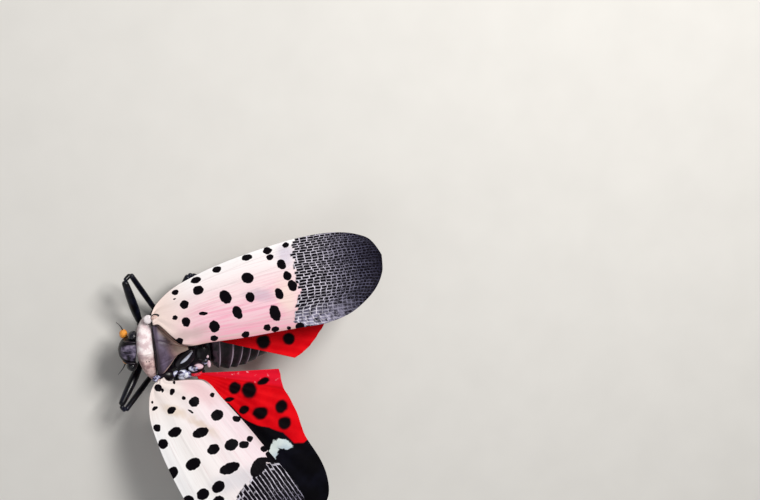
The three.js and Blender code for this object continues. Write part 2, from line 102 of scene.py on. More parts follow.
# Edges of a forewing in wing lengths: distance from the hinge, then height over the middle line.
COSTAL_EDGE = [
    (-0.015, 0.02), (0.0, 0.055), (0.03, 0.088), (0.1, 0.133), (0.2, 0.165), (0.3, 0.188), (0.45, 0.21),
    (0.6, 0.224), (0.7, 0.224), (0.8, 0.213), (0.88, 0.19), (0.94, 0.157), (0.975, 0.122), (1.0, 0.055),
]
INNER_EDGE = [
    (-0.015, -0.015), (0.01, -0.02), (0.03, -0.05), (0.06, -0.1), (0.1, -0.148), (0.2, -0.163),
    (0.35, -0.182), (0.5, -0.194), (0.6, -0.204), (0.7, -0.212), (0.8, -0.196), (0.88, -0.155),
    (0.94, -0.105), (0.98, -0.045), (1.0, 0.02),
]
MAIN_VEINS = (0.15, 0.32, 0.5, 0.68, 0.86)
VEIN_FORK = 0.132  # how fast a vein's two branches part
FIRST_ROW = 40  # number of the net's row on the middle line, so that no number is below 0

HINDWING = {"hinge": (7.0, 2.95, 5.1), "pleat": 0.02, "scallop": 0.004, "folds": 18, "rows": 90, "wall": 0.06}
HINDWING_POSE = {
    "right": {
        "leading": 8, "anal": -19.5, "rise": (0.07, 0.12), "arch": 0.06, "fold": 0.0,
        "anal_root": (1.2, -2.35, 0.95),
        "outline": [(0, 15.6), (0.15, 16.3), (0.3, 14.5), (0.45, 12.9), (0.63, 11.7), (0.8, 10.55),
                    (0.9, 9.7), (1, 8.65)],
    },
    "left": {
        "leading": 70, "anal": 5, "rise": (0.05, 0.0), "arch": 0.0, "fold": 0.3,
        "anal_root": (0, 0, 0),
        "outline": [(0, 17.4), (0.08, 18.6), (0.18, 19.0), (0.27, 18.5), (0.33, 17.6), (0.405, 15.4),
                    (0.475, 12.8), (0.52, 11.9), (0.73, 9.3), (0.82, 8.5), (1, 7.95)],
    },
}
FAN_REACH = 20  # the length that stands for a reach of 1
ANAL_CREASE = 0.79  # fan's share from the leading edge, where the left hindwing's last part folds up

# Middle of the coxae, then each leg's knee, and its ankle and toe as seen from above.
COXAE = {"fore": (2.6, 1.25, 1.78), "mid": (5.1, 1.25, 1.5), "hind": (7.3, 1.25, 1.45)}
LEGS = {
    "fore_right": {"knee": (1.5, 6.68, 4.4), "ankle": (4.1, 2.7), "toe": (3.0, 1.2)},
    "fore_left": {"knee": (-0.3, 5.3, 4.4), "ankle": (3.4, 3.3), "toe": (2.6, 1.6)},
    "mid_right": {"knee": (7.5, 6.3, 3.6), "ankle": (9.9, 4.6), "toe": (11.4, 3.8)},
    "mid_left": {"knee": (5.6, 5.9, 3.7), "ankle": (8.4, 7.4), "toe": (10.0, 8.4)},
    "hind_right": {"knee": (10.2, 5.2, 3.4), "ankle": (16.4, 4.7), "toe": (18.1, 4.5)},
    "hind_left": {"knee": (8.0, 6.6, 3.0), "ankle": (14.2, 7.5), "toe": (15.7, 8.1)},
}
ANKLE_HEIGHT = 0.95
HEEL_HEIGHT = 0.28
TOE_HEIGHT = 0.24
COXA_RADII = (0.48, 0.62, 0.38)
FEMUR_RADII = (0.28, 0.42, 0.4, 0.3)
TIBIA_RADII = {"fore": (0.25, 0.28, 0.24), "mid": (0.27, 0.3, 0.25), "hind": (0.27, 0.34, 0.26)}
KNEE_FOLDED = 1.05
KNEE_OPEN = 0.85
# Joints of a foot: the share of its length where each starts and ends, and the radius.
FOOT_JOINTS = ((-0.12, 0.34, 0.24), (0.33, 0.6, 0.21), (0.58, 1.0, 0.24))
SPINES = (0.3, 0.48, 0.66, 0.82)  # shares of a hind shin

# Camera, light and floor

CAMERA = {
    "place": (0.719, 31.845, 122.136), "turn": (-10.8347, -13.0735, -4.8291), "lens": 60,
    "near": 10, "far": 10000,
}
LAMPS = {
    "key light": {"place": (75, 75, 130), "size": 55, "power": 0.24, "colour": (1.0, 0.98, 0.95)},
    "fill light": {"place": (-90, -60, 110), "size": 120, "power": 0.03, "colour": (0.93, 0.96, 1.0)},
}
LAMPS_AIM = (10, 0, 4)
SKY_STRENGTH = 0.25
FLOOR_HALF = 1.5  # metres

# Spots, in wing lengths from the hinge: along, across, long size, cross size and turn in degrees.
RIGHT_SPOTS = [
    (0.11, 0.111, 0.028, 0.025, 0), (0.1, 0.082, 0.01, 0.008, 0), (0.135, 0.038, 0.035, 0.04, 0),
    (0.085, -0.011, 0.022, 0.025, 0), (0.125, -0.045, 0.033, 0.043, 10), (0.08, -0.122, 0.03, 0.028, 0),
    (0.205, 0.142, 0.042, 0.032, 0), (0.205, 0.088, 0.043, 0.045, 0), (0.203, -0.03, 0.036, 0.017, -15),
    (0.235, -0.1, 0.04, 0.051, 0), (0.223, -0.151, 0.03, 0.023, 0), (0.302, 0.166, 0.037, 0.034, 0),
    (0.31, 0.02, 0.045, 0.062, 15), (0.343, -0.065, 0.036, 0.057, 10), (0.353, -0.17, 0.032, 0.028, 0),
    (0.44, 0.188, 0.045, 0.034, 0), (0.42, 0.082, 0.047, 0.057, 15), (0.41, -0.011, 0.036, 0.045, 5),
    (0.447, -0.164, 0.028, 0.03, 0), (0.478, -0.181, 0.03, 0.025, 0), (0.494, -0.111, 0.042, 0.068, 5),
    (0.532, -0.031, 0.032, 0.051, 5), (0.535, 0.158, 0.028, 0.03, 0), (0.532, 0.197, 0.037, 0.037, 0),
    (0.575, 0.106, 0.035, 0.051, 10), (0.585, 0.041, 0.033, 0.045, 5), (0.595, -0.011, 0.035, 0.051, 5),
    (0.615, 0.203, 0.027, 0.03, 0), (0.534, -0.191, 0.016, 0.016, 0), (0.58, -0.196, 0.035, 0.034, 0),
]
LEFT_SPOTS = [
    (0.032, -0.036, 0.013, 0.012, 0), (0.059, -0.007, 0.026, 0.019, 54), (0.109, -0.032, 0.017, 0.015, 0),
    (0.148, -0.059, 0.043, 0.038, 82), (0.075, 0.091, 0.024, 0.015, -86),
    (0.121, 0.039, 0.035, 0.026, 90), (0.171, -0.024, 0.026, 0.009, -19),
    (0.169, -0.136, 0.019, 0.018, 0), (0.148, 0.131, 0.032, 0.029, 0), (0.206, 0.08, 0.055, 0.037, -80),
    (0.271, -0.006, 0.068, 0.039, -75), (0.252, -0.105, 0.051, 0.043, -84),
    (0.315, -0.163, 0.035, 0.025, -51), (0.218, 0.149, 0.04, 0.039, 0), (0.362, -0.009, 0.051, 0.04, -82),
    (0.392, -0.082, 0.056, 0.045, -74), (0.424, -0.126, 0.043, 0.03, -60),
    (0.419, -0.16, 0.026, 0.025, 0), (0.362, 0.095, 0.064, 0.046, -85), (0.343, 0.187, 0.056, 0.04, 62),
    (0.469, -0.019, 0.085, 0.043, -75), (0.492, -0.186, 0.031, 0.025, -48),
    (0.531, -0.194, 0.042, 0.032, -20), (0.505, 0.065, 0.055, 0.045, 85),
    (0.493, 0.136, 0.051, 0.045, 87), (0.48, 0.203, 0.051, 0.041, 86), (0.047, 0.085, 0.01, 0.009, 0),
    (0.555, 0.1, 0.04, 0.05, 0), (0.56, 0.17, 0.045, 0.04, 0), (0.54, -0.12, 0.088, 0.054, 68),
    (0.012, 0.03, 0.032, 0.03, 0), (0.03, 0.022, 0.02, 0.012, 30), (0.551, -0.184, 0.08, 0.024, -48),
]
# Spots of the hindwings, in millimetres back and outwards from the hinge.
LEFT_HIND_SPOTS = [
    (3.51, 1.94, 1.15, 1.1, 0), (4.84, 2.43, 1.35, 1.5, 0), (6.31, 1.74, 1.1, 0.62, -15),
    (7.76, 4.48, 1.15, 1.25, 0), (5.68, 4.8, 1.4, 1.2, 0), (4.17, 4.24, 0.85, 0.8, 0),
    (7.89, 6.18, 1.2, 1.1, 0), (2.86, 3.01, 0.9, 0.42, 0),
]
RIGHT_HIND_SPOTS = [
    (6.55, -3.36, 1.15, 1.3, 0), (8.94, -3.35, 0.95, 0.95, 0), (5.4, -1.6, 1.0, 1.0, 0),
    (7.6, -1.0, 1.1, 1.2, 0), (9.9, -1.0, 1.0, 1.1, 0),
]


def smooth(points, x):
    """The value at x of a smooth curve through a few (x, value) points."""
    last = len(points) - 1
    at = min(max(x, points[0][0]), points[last][0])
    i = 0
    while i < last - 1 and at > points[i + 1][0]:
        i += 1

    def slope(k):
        a = points[max(k - 1, 0)]
        b = points[min(k + 1, last)]
        return (b[1] - a[1]) / (b[0] - a[0])

    x0, y0 = points[i]
    x1, y1 = points[i + 1]
    w = x1 - x0
    t = (at - x0) / w
    return (y0 * (2 * t ** 3 - 3 * t * t + 1) + y1 * (3 * t * t - 2 * t ** 3)
            + slope(i) * w * (t ** 3 - 2 * t * t + t) + slope(i + 1) * w * (t ** 3 - t * t))


def on_side(side, point):
    return Vector((point[0], side * point[1], point[2]))


def hump(distance, width):
    """1 where the distance is 0, falling away to either side over the width."""
    return exp(-(distance / width) ** 2)


def round_end(x):
    """A quarter circle: 1 where x is 0 or less, down to 0 where x is 1."""
    return sqrt(max(0, 1 - max(0, x) ** 2))


def rounded(angle, power):
    """Cosine and sine of a rounded section: power 2 is a circle, and a higher power is squarer."""
    wide = cos(angle)
    tall = sin(angle)
    return copysign(abs(wide) ** (2 / power), wide), copysign(abs(tall) ** (2 / power), tall)


# Shader nodes


def tone(colour):
    """The linear value of a colour given as seen on a screen, 0 to 255. A signal stays as it is."""
    if isinstance(colour, Signal):
        return colour
    parts = [c / 255 for c in colour]
    return (*[c / 12.92 if c <= 0.04045 else ((c + 0.055) / 1.055) ** 2.4 for c in parts], 1)


class Signal:
    """One output of a shader node. Sums with it add the Math nodes that work them out."""

    def __init__(self, finish, socket):
        self.finish = finish
        self.socket = socket

    def math(self, operation, *values):
        return self.finish.node("Math", values, operation=operation)

    def __add__(self, other):
        return self.math("ADD", self, other)

    def __sub__(self, other):
        return self.math("SUBTRACT", self, other)

    def __rsub__(self, other):
        return self.math("SUBTRACT", other, self)

    def __mul__(self, other):
        return self.math("MULTIPLY", self, other)

    __radd__ = __add__
    __rmul__ = __mul__

    def __abs__(self):
        return self.math("ABSOLUTE", self)

    def fraction(self):
        return self.math("FRACT", self)

    def whole(self):
        return self.math("FLOOR", self)

    def least(self, other):
        return self.math("MINIMUM", self, other)

    def most(self, other):
        return self.math("MAXIMUM", self, other)

    def step(self, start, end):
        """0 before start and 1 after end, with a soft change between."""
        return self.finish.node("MapRange", {"Value": self, "From Min": start, "From Max": end},
                                interpolation_type="SMOOTHSTEP")


class Finish:
    """A surface finish: a material, the ways to add nodes to it, and the place in millimetres."""

    def __init__(self, name, **constants):
        self.material = bpy.data.materials.new(name)
        self.material.use_nodes = True
        self.tree = self.material.node_tree
        self.shader = self.tree.nodes["Principled BSDF"]
        for socket, value in constants.items():
            self.set(socket.replace("_", " ").title().replace("Ior", "IOR"), value)
        self.place = self.scaled(self.node("TexCoord", output="Object"), 1 / MM)
        self.colour = None

    def node(self, kind, inputs=(), output=0, **settings):
        made = self.tree.nodes.new("ShaderNode" + kind)
        for name, value in settings.items():
            setattr(made, name, value)
        pairs = inputs.items() if isinstance(inputs, dict) else enumerate(inputs)
        for key, value in pairs:
            self.feed(made.inputs[key], value)
        return Signal(self, made.outputs[output])

    def feed(self, socket, value):
        if isinstance(value, Signal):
            self.tree.links.new(value.socket, socket)
        else:
            socket.default_value = value

    def set(self, name, value):
        self.feed(self.shader.inputs[name], value)

    def mix(self, share, first, second):
        """The first colour where share is 0, and the second where it is 1."""
        return self.node("Mix", {0: share, 6: tone(first), 7: tone(second)}, 2,
                         data_type="RGBA", clamp_factor=True)

    def paint(self, colour, share=1):
        """Paints a colour over the ones so far, where share is 1. The first one covers everything."""
        self.colour = self.mix(share, self.colour, colour) if self.colour else colour

    def dress(self, roughness, relief, depth):
        """Puts on the paint, the roughness and relief that is depth millimetres high where it is 1."""
        self.set("Base Color", self.colour)
        self.set("Roughness", roughness)
        self.set("Normal", self.node("Bump", {"Height": relief, "Distance": depth * MM, "Strength": 1.0}))
        return self

    def ramp(self, value, stops):
        """A colour or a plain number that follows the value from stop to stop."""
        made = self.node("ValToRGB", [value])
        elements = made.socket.node.color_ramp.elements
        while len(elements) < len(stops):
            elements.new(1)
        for element, (position, reading) in zip(elements, stops):
            element.position = position
            element.color = tone(reading) if isinstance(reading, tuple) else (reading, reading, reading, 1)
        return made

    def vector(self, operation, *values, output=0):
        return self.node("VectorMath", values, output, operation=operation)

    def scaled(self, vector, scale):
        return self.node("VectorMath", {0: vector, "Scale": scale}, operation="SCALE")

    def chart(self, name):
        return self.node("UVMap", uv_map=name)

    def parts(self, vector):
        split = self.node("SeparateXYZ", [vector]).socket.node
        return [Signal(self, socket) for socket in split.outputs]

    def noise(self, scale, detail=3, roughness=0.55, over=None):
        return self.node("TexNoise", {
            "Vector": over or self.place, "Scale": scale, "Detail": detail, "Roughness": roughness})

    def streaks(self, chart, stretch, detail):
        """Noise over a chart that is stretched by three numbers, so that it runs in lines."""
        return self.noise(1, detail, over=self.node("Mapping", {0: chart, "Scale": stretch}))

    def cells(self, scale, feature="F1"):
        return self.node("TexVoronoi", {"Vector": self.place, "Scale": scale}, feature=feature)

    def wavered(self, vector, scale, size):
        """The vector moved about by noise, so that edges drawn with it waver."""
        found = self.node("TexNoise", {"Vector": vector, "Scale": scale, "Detail": 2}, "Color")
        centred = self.vector("SUBTRACT", found, (0.5, 0.5, 0.5))
        return self.vector("ADD", vector, self.scaled(centred, size))

    def nearest_spot(self, vector, spots):
        """Distance to the nearest spot's middle, where 1 is on its edge."""
        found = None
        for along, across, length, width, turn in spots:
            local = self.node("Mapping", {
                0: vector, "Location": (along, across, 0), "Rotation": (0, 0, radians(turn)),
                "Scale": (length / 2, width / 2, 1)}, vector_type="TEXTURE")
            distance = self.vector("LENGTH", local, output="Value")
            found = distance if found is None else found.least(distance)
        return found


# Shapes


def put_in_scene(name, data):
    made = bpy.data.objects.new(name, data)
    bpy.context.scene.collection.objects.link(made)
    return made


class Form:
    """A mesh in the making, in millimetres. Its balls and limbs are mirrored where its side is the left."""

    def __init__(self, name, finish, side=RIGHT):
        self.name = name
        self.mesh = bmesh.new()
        self.finishes = [finish]
        self.side = side

    def settle(self, vertices, finish=None, where=None, shape=None, charts=()):
        """Gives new faces a finish, or else the form's own, and new vertices their UV maps and places."""
        if finish and finish not in self.finishes:
            self.finishes.append(finish)
        for face in {face for vertex in vertices for face in vertex.link_faces}:
            face.material_index = self.finishes.index(finish or self.finishes[0])
            face.smooth = True
        if where:
            self.keep_charts(charts, where)
            for vertex in vertices:
                vertex.co = shape(*where(vertex))

    def moulded(self, sides, rings, shape, finish=None, charts=()):
        """A closed form: shape(share, angle) is a point at a share of the way from end to end."""
        made = bmesh.ops.create_uvsphere(self.mesh, u_segments=sides, v_segments=rings, radius=1)["verts"]

        def where(vertex):
            return acos(max(-1, min(1, vertex.co.z))) / pi, atan2(vertex.co.y, vertex.co.x)

        self.settle(made, finish, where, shape, charts)

    def keep_charts(self, charts, where):
        """Keeps each chart's own coordinates of every vertex as a UV map."""
        layers = [(self.mesh.loops.layers.uv.new(name), chart) for name, chart in dict(charts).items()]
        for face in self.mesh.faces if layers else ():
            for loop in face.loops:
                for layer, chart in layers:
                    loop[layer].uv = chart(*where(loop.vert))

    def ball(self, centre, radii, sides=20, rings=12, finish=None, turn=0):
        """An ellipsoid, turned by some degrees about the upright line through it."""
        middle = on_side(self.side, centre)
        turned = Matrix.Rotation(radians(turn * self.side), 3, "Z")

        def shape(share, angle):
            around = sin(pi * share)
            return middle + turned @ Vector((radii[0] * around * cos(angle),
                                             radii[1] * around * sin(angle),
                                             radii[2] * cos(pi * share)))

        self.moulded(sides, rings, shape, finish)

    def limb(self, path, radii, sides=14, rings=26, finish=None, flat=1.0):
        """A limb through a few points, with a radius at each of a few shares and with round ends."""
        points = [on_side(self.side, point) for point in path]
        last = len(points) - 1
        lines = [[(i / last, point[k]) for i, point in enumerate(points)] for k in range(3)]
        widths = [(i / (len(radii) - 1), radius) for i, radius in enumerate(radii)]
        length = sum((points[i + 1] - points[i]).length for i in range(last))

        def middle(share):
            return Vector([smooth(line, share) for line in lines])

        def shape(share, angle):
            along = (middle(min(1, share + 0.02)) - middle(max(0, share - 0.02))).normalized()
            across = along.cross(UP if abs(along.z) < 0.95 else TAILWARDS).normalized()
            radius = smooth(widths, share)
            ending = max(1e-6, radius / length)
            radius *= round_end(1 - min(share, 1 - share) / ending)
            return (middle(share) + across * radius * flat * cos(angle)
                    + across.cross(along) * radius * sin(angle))

        self.moulded(sides, rings, shape, finish)

    def spike(self, foot, tip, radius):
        """A small pointed spine."""
        reach = tip - foot
        turn = reach.to_track_quat("Z", "Y").to_matrix().to_4x4()
        made = bmesh.ops.create_cone(
            self.mesh, cap_ends=True, segments=6, radius1=radius, radius2=radius * 0.15, depth=reach.length,
            matrix=Matrix.Translation(foot + reach / 2) @ turn)["verts"]
        self.settle(made)

    def sheet(self, columns, rows, shape, charts):
        """A sheet of cells: shape(a, b) is a point, for shares a across it and b along it."""
        made = bmesh.ops.create_grid(self.mesh, x_segments=columns, y_segments=rows, size=0.5)["verts"]

        def where(vertex):
            return vertex.co.x + 0.5, vertex.co.y + 0.5

        self.settle(made, None, where, shape, charts)

    def keep(self, slot, *nodes, turned=Matrix.Identity(4)):
        """Puts the finished mesh in the scene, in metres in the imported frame."""
        bmesh.ops.recalc_face_normals(self.mesh, faces=self.mesh.faces)
        is_sheet = any(edge.is_boundary for edge in self.mesh.edges)
        if is_sheet and sum(face.normal.z for face in self.mesh.faces) < 0:
            bmesh.ops.reverse_faces(self.mesh, faces=self.mesh.faces)
        self.mesh.transform(TO_FRAME @ turned)
        data = bpy.data.meshes.new(self.name)
        self.mesh.to_mesh(data)
        self.mesh.free()
        piece = put_in_scene(self.name, data)
        for finish in self.finishes:
            data.materials.append(finish.material)
        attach(piece, "root")
        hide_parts(*nodes)
        return piece


def thicken(piece, thickness, offset=0.0):
    wall = piece.modifiers.new("thickness", "SOLIDIFY")
    wall.thickness = thickness * MM
    wall.offset = offset


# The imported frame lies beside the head-front frame that the shapes are written in.
coxa_low, coxa_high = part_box("coxa_fore_right")
SHIFT = (coxa_low + coxa_high) / 2 / MM - Vector(COXAE["fore"])
TO_FRAME = Matrix.Scale(MM, 4) @ Matrix.Translation(SHIFT)
NECK = Matrix.Translation((HEAD["neck"], 0, 0))
HEAD_TURN = NECK @ Matrix.Rotation(radians(HEAD["turn"]), 4, "Z") @ NECK.inverted()

# Finishes


def black_cuticle(name, base, sheen, gloss):
    """Hard glossy cuticle: a dark base with a cool sheen, fine pits and scuffs."""
    finish = Finish(name, specular_ior_level=0.25, coat_weight=0.15, coat_roughness=0.12)
    grain = finish.noise(14)
    finish.paint(base)
    finish.paint(sheen, finish.noise(1.3, 4).step(0.4, 0.72))
    return finish.dress(gloss + grain * 0.15, finish.cells(16) * 0.6 + grain * 0.6, 0.005)


def head_finish():
    """Head: mottled purple-grey in the middle and glossy black towards the eyes."""
    finish = Finish("head cuticle", specular_ior_level=0.15, coat_weight=0.08, coat_roughness=0.12)
    lengthwise, across, _ = finish.parts(finish.wavered(finish.chart("plan"), 5, 0.14))
    cloud = finish.noise(1.5, 5, 0.6)
    fine = finish.noise(7)
    finish.paint(finish.ramp(cloud, [(0.38, (20, 15, 26)), (0.5, (78, 70, 90)), (0.64, (136, 126, 148))]))
    dark = finish.mix(fine.step(0.6, 0.72), (5, 4, 8), (40, 36, 52))
    finish.paint(dark, abs(across).step(0.44, 0.66).most(lengthwise.step(0.14, 0.04) * 0.7))
    return finish.dress(0.3 + fine * 0.3, cloud * 0.6 + fine * 0.2, 0.04)


def eye_finish():
    """Glossy compound eye: fine facets over a dark blue-black base."""
    finish = Finish("compound eye", specular_ior_level=0.3, coat_weight=0.4, coat_roughness=0.06)
    facets = finish.cells(22, "DISTANCE_TO_EDGE")
    finish.paint((5, 5, 10))
    finish.paint((18, 18, 32), finish.noise(1.5, 2).step(0.35, 0.7))
    return finish.dress(0.3 - facets.step(0.0, 0.2) * 0.15, facets.step(0.0, 0.25), 0.003)


def orange_finish():
    """Antenna knob: orange and closely beaded."""
    finish = Finish("orange antenna knob", coat_weight=0.15)
    beads = finish.cells(11)
    finish.paint((255, 186, 74))
    finish.paint((242, 140, 30), beads.step(0.15, 0.75))
    return finish.dress(0.5 - beads * 0.15, 1 - beads, 0.05)


def pale_finish(name, first, second, third):
    """Waxy pale cuticle with soft mottling."""
    finish = Finish(name, coat_weight=0.05)
    cloud = finish.noise(1.6, 5, 0.6)
    fine = finish.noise(9)
    finish.paint(first)
    finish.paint(second, cloud.step(0.35, 0.65))
    finish.paint(third, fine.step(0.5, 0.75))
    return finish.dress(0.5 + fine * 0.25, cloud * 0.5 + fine * 0.5, 0.04)


def joint_finish():
    """Wing joints: black cuticle mottled with lavender and bluish white."""
    finish = Finish("wing joint cuticle", coat_weight=0.3, coat_roughness=0.2)
    cloud = finish.noise(2.4, 3, 0.6)
    finish.paint(finish.ramp(cloud, [(0.4, (12, 9, 16)), (0.47, (60, 50, 84)), (0.52, (150, 148, 190)),
                                     (0.58, (214, 220, 238)), (0.66, (236, 238, 246))]))
    return finish.dress(0.3 + finish.noise(9) * 0.3, cloud, 0.06)


def collar_finish():
    """Pale pinkish collar, flecked dark all over, with painted shade: browner and more mottled on its left
    side, darker low down.
    """
    finish = Finish("collar cuticle", coat_weight=0.05)
    _, y, z = finish.parts(finish.wavered(finish.place, 1.2, 0.6))
    cloud = finish.noise(1.5, 5, 0.6)
    fine = finish.noise(8)
    mottled_left_shade = finish.mix(cloud.step(0.38, 0.6), (226, 188, 182), (150, 108, 108))
    finish.paint((252, 242, 243))
    finish.paint((222, 198, 202), cloud.step(0.38, 0.62))
    # Painted shade: the left side of the collar, away from the light, goes a mottled brown
    finish.paint(mottled_left_shade, y.step(SHIFT.y + 0.5, SHIFT.y - 1.1) * 0.85)
    # Painted shade: darker where the collar hangs low beside and behind the head
    finish.paint((96, 82, 88), z.step(5.6, 4.2))
    finish.paint((120, 88, 92), fine.step(0.62, 0.78) * 0.5)
    return finish.dress(0.5 + fine * 0.25, cloud * 0.5 + fine * 0.5, 0.04)


def shield_finish():
    """Purple-grey shield: browner to the rear, tan at the apex and along its thin hind edges."""
    finish = Finish("shield cuticle", coat_weight=0.1, coat_roughness=0.3)
    across, along, _ = finish.parts(finish.wavered(finish.chart("plan"), 7, 0.05))
    cloud = finish.noise(1.4, 4)
    fine = finish.noise(8)
    behind = along.step(0.1, 0.3)
    from_edge = 0.5 - abs(across - 0.5)
    right_edge = across.step(0.78, 0.92) * along.step(0.1, 0.26) * 0.85
    finish.paint(finish.ramp(along + (across - 0.5) * 0.25, [
        (0.0, (56, 42, 60)), (0.1, (98, 84, 108)), (0.3, (96, 82, 104)), (0.44, (118, 90, 98)),
        (0.56, (184, 150, 144)), (0.72, (216, 186, 170)), (1.0, (226, 202, 182))]))
    finish.paint((58, 40, 56), cloud.step(0.42, 0.62) * along.step(0.7, 0.5) * 0.6)
    finish.paint((222, 188, 172), (from_edge.step(0.05, 0.015) * behind).most(right_edge))
    finish.paint((58, 42, 50), abs(from_edge - 0.08).step(0.03, 0.01) * behind * 0.5)
    return finish.dress(0.4 + fine * 0.25, cloud * 0.4 + fine * 0.5, 0.03)


leg_cuticle = black_cuticle("blue-black leg cuticle", (5, 5, 10), (20, 22, 40), 0.22)
body_cuticle = black_cuticle("purple-black body cuticle", (8, 4, 9), (30, 19, 33), 0.25)
wax = pale_finish("white wax", (228, 232, 244), (184, 190, 214), (244, 246, 250))
pink_wax = pale_finish("pink wax", (240, 208, 220), (214, 164, 186), (246, 232, 238))
cream = pale_finish("pale plate", (248, 238, 240), (212, 200, 206), (252, 248, 250))
tan_plate = pale_finish("tan plate", (226, 196, 188), (196, 160, 150), (150, 118, 116))
red_root = pale_finish("red wing root", (236, 26, 56), (206, 8, 30), (242, 130, 156))
mottled = joint_finish()


# Hues of the forewings from the inner edge to the costal one, their base, blush and larger tints.
RIGHT_FOREWING = {
    "spots": RIGHT_SPOTS,
    "hues": [(0.0, (196, 160, 156)), (0.06, (216, 180, 186)), (0.3, (238, 198, 210)),
             (0.55, (240, 216, 220)), (0.8, (246, 236, 238)), (1.0, (250, 248, 250))],
    "base": (236, 216, 210),
    "blush": 0.85, "veins": 0.16, "haze": 0.85,
    "tints": [((196, 172, 172), 0.75, [(0.12, -0.1, 0.24, 0.07, 0)]),
              ((190, 172, 190), 0.6, [(0.455, -0.015, 0.17, 0.075, -20)]),
              ((204, 196, 214), 0.75, [(0.6, 0.15, 0.1, 0.16, 0)]),
              ((236, 222, 206), 0.6, [(0.56, -0.05, 0.12, 0.2, 0)])],
    "net_start": [(0.3, 0.587), (0.33, 0.566), (0.366, 0.571), (0.404, 0.599), (0.447, 0.617), (0.49, 0.62),
                  (0.54, 0.618), (0.6, 0.629), (0.65, 0.63), (0.7, 0.65)],
    "rows": 72, "waver": 1.0, "tilt": 0.13, "crossings": 26, "crossed": 1.0,
}
LEFT_FOREWING = {
    "spots": LEFT_SPOTS,
    "hues": [(0.0, (222, 204, 206)), (0.06, (240, 224, 230)), (0.35, (242, 232, 234)),
             (0.7, (244, 239, 238)), (1.0, (246, 245, 247))],
    "base": (238, 226, 222),
    "blush": 0.12, "veins": 0.04, "haze": 0.0,
    "tints": [((232, 196, 200), 0.75, [(0.12, -0.1, 0.26, 0.11, -20)]),
              ((214, 190, 164), 0.55, [(0.134, 0.03, 0.16, 0.05, -32), (0.25, -0.03, 0.2, 0.05, -22)]),
              ((210, 208, 214), 0.7, [(0.53, -0.02, 0.12, 0.3, 20)])],
    "net_start": [(0.3, 0.575), (0.32, 0.56), (0.35, 0.54), (0.38, 0.53), (0.412, 0.545), (0.435, 0.562),
                  (0.48, 0.575), (0.53, 0.593), (0.62, 0.61), (0.7, 0.63)],
    "rows": 60, "waver": 0.5, "tilt": 0.0, "crossings": 16, "crossed": 0.12,
}


def forewing_finish(name, look):
    """Cream-pink forewing with black spots and a black, pale-netted outer third."""
    finish = Finish(name, specular_ior_level=0.05)
    plan = finish.chart("plan")
    ribs = finish.chart("ribs")
    u, v, _ = finish.parts(finish.wavered(plan, 30, 0.006))
    along, across, _ = finish.parts(finish.wavered(ribs, 40, 0.005))

    # Cream-pink ground, with streaks that run along the ribs
    streaks = finish.streaks(ribs, (4, 30, 1), 3)
    threads = finish.streaks(ribs, (6, 110, 1), 2)
    inward = across.step(0.8, 0.3) * along.step(0.06, 0.25) * along.step(0.62, 0.5)
    finish.paint(look["base"])
    finish.paint(finish.ramp(across, look["hues"]), along.step(0.02, 0.2))
    finish.paint((232, 158, 182), streaks.step(0.38, 0.66) * inward * look["blush"])
    for tint, share, areas in look["tints"]:
        area = finish.nearest_spot(finish.wavered(plan, 22, 0.04), areas)
        finish.paint(tint, area.step(1.15, 0.25) * share)
    finish.paint((200, 164, 164), threads.step(0.52, 0.78) * 0.3)

    # Main veins, which fork beyond a third of the wing, and painted shade as a dark rim by the hinge, where
    # the inner edge meets the body
    vein = None
    for at in MAIN_VEINS:
        for fork in (-VEIN_FORK, VEIN_FORK):
            line = abs(across - at - (along - 0.3).most(0) * fork)
            vein = line if vein is None else vein.least(line)
    vein_line = vein.step(0.008, 0.002) * along.step(0.1, 0.25)
    finish.paint((176, 140, 146), vein_line * look["veins"])
    # Painted shade: a thin dark line along the inner edge by the hinge
    finish.paint((70, 44, 46), across.step(0.03, 0.012) * along.step(0.15, 0.1) * 0.8)

    # The net: long rows, each shifted by its own draw and crossed by bars
    rows = (v + u * look["tilt"]) * look["rows"] + finish.noise(9, 2, over=plan) * look["waver"] + FIRST_ROW
    shift = finish.node("TexWhiteNoise", {"W": rows.whole()}, noise_dimensions="1D")
    depth = u - finish.ramp(v + 0.5, look["net_start"]) - (shift - 0.5) * 0.022
    worn = finish.noise(40, over=plan)
    wear = (worn - 0.5) * 0.08
    bars = ((depth + depth * depth * 2.4) * look["crossings"] + shift * 3.7).fraction()
    has_bars = (shift - 1 + look["crossed"]).step(-0.02, 0.02).most(depth.step(0.045, 0.025))
    long_line = (abs(rows.fraction() - 0.5) + wear).step(0.36, 0.42)
    cross_line = (abs(bars - 0.5) + wear).step(0.4, 0.46) * has_bars
    net = long_line.most(cross_line)
    bright = finish.ramp(depth, [(0.0, (218, 213, 226)), (0.1, (206, 201, 216)), (0.18, (152, 148, 168)),
                                 (0.27, (92, 90, 112)), (0.36, (40, 40, 58))])
    haze = across.step(0.24, 0.04) * depth.step(0.3, 0.1) * worn.step(0.35, 0.6) * look["haze"]
    # Painted highlights: small glints of the pale net colour scattered over the black cells beyond the net's
    # start
    glint_specks = finish.noise(120, 2, over=plan).step(0.56, 0.66) * depth.step(0.06, 0.2) * 0.5
    cells_with_glints = finish.mix(glint_specks, finish.mix(haze, (9, 6, 14), (158, 154, 180)), bright)
    in_net = depth.step(-0.002, 0.004)
    finish.paint(finish.mix(net * (0.4 + worn.step(0.35, 0.6) * 0.6), cells_with_glints, bright), in_net)

    spot = finish.nearest_spot(finish.wavered(plan, 60, 0.01), look["spots"])
    finish.paint((6, 3, 8), spot.step(1.12, 1.02))
    fine = finish.noise(6, 4)
    relief = vein_line * look["veins"] + in_net * net * 0.5 + streaks * 0.2 + threads * 0.15 + fine * 0.15
    return finish.dress(0.45 + fine * 0.2, relief, 0.05)


